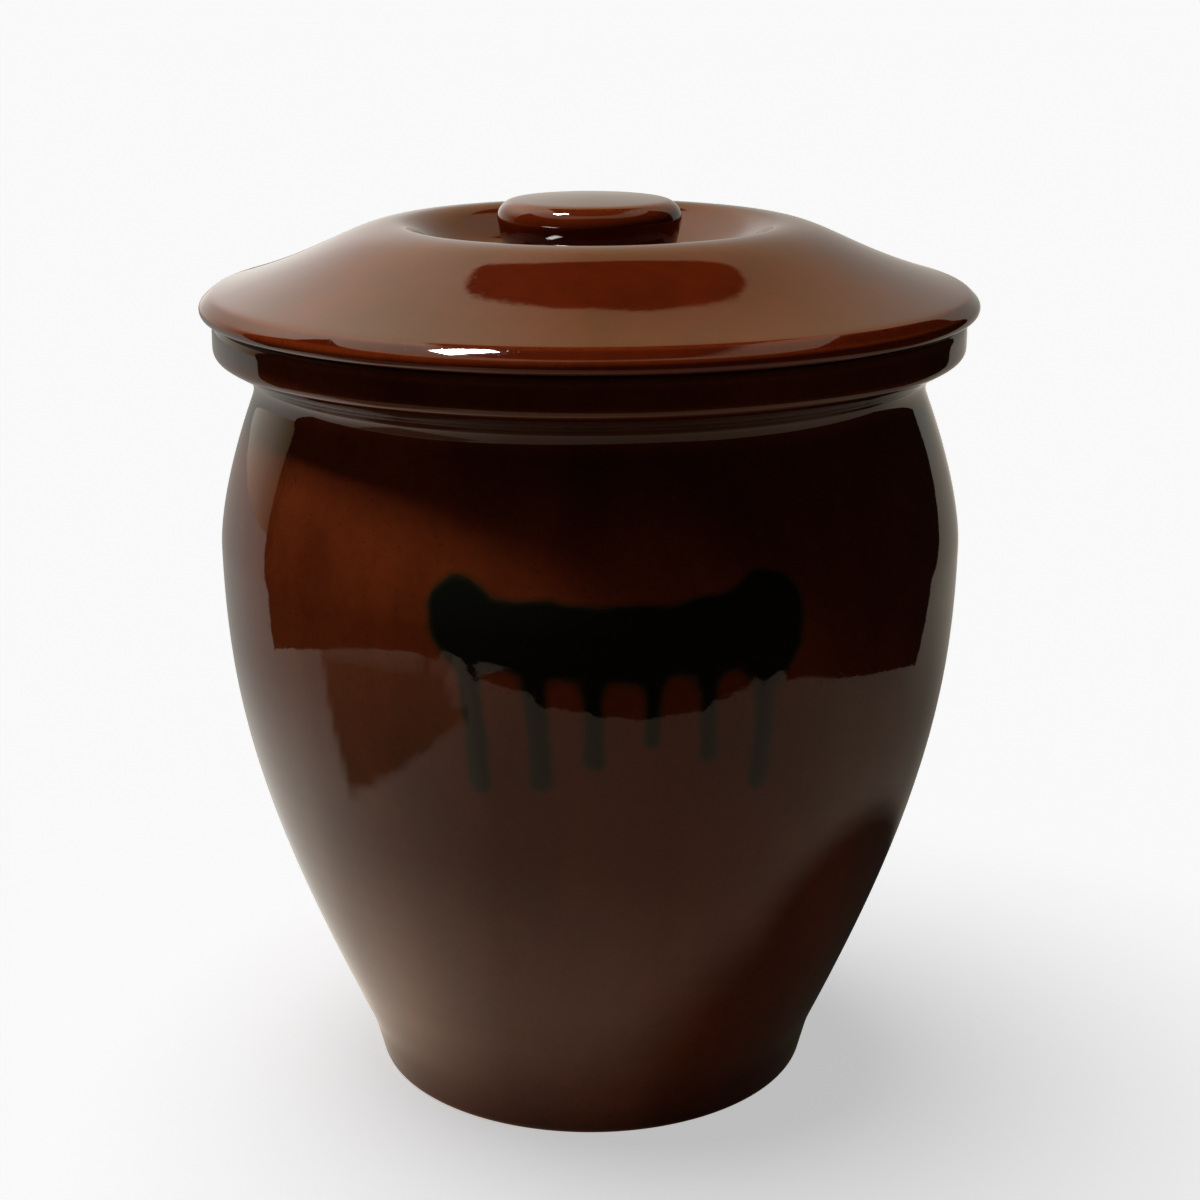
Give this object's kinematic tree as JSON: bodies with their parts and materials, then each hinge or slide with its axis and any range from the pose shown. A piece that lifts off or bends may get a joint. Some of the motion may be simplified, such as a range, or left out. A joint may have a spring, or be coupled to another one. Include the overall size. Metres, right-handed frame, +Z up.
{
  "type": "ceramic fermenting crock",
  "caption": "Glazed stoneware fermenting crock: tapered round jar with a thick collar, loose lid with a recessed disc knob, and half-round weights inside.",
  "frame": {"origin": "centre of the foot's underside, on the crock's axis, at the level it stands on", "axes": "+Z up along the crock's axis; -Y towards the front, where the poured glaze band is"},
  "size_m": [0.198, 0.198, 0.2332],
  "materials": {
    "amber_glaze": "glossy iron-brown glaze with a dark poured band on the front",
    "lid_glaze": "glossy iron-brown glaze",
    "fired_clay": "bare fired clay, matt"
  },
  "bodies": {
    "crock": {"crock": "amber_glaze"},
    "lid": {"lid": "lid_glaze"},
    "weight_left": {"weight_left": "fired_clay"},
    "weight_right": {"weight_right": "fired_clay"}
  },
  "joints": [
    {"name": "lid_lift", "type": "slide", "parent": "crock", "child": "lid", "axis": [0, 0, 1], "range_m": [0, 0.15]},
    {"name": "weight_left_lift", "type": "slide", "parent": "crock", "child": "weight_left", "axis": [0, 0, 1], "range_m": [0, 0.1]},
    {"name": "weight_right_lift", "type": "slide", "parent": "crock", "child": "weight_right", "axis": [0, 0, 1], "range_m": [0, 0.1]}
  ]
}
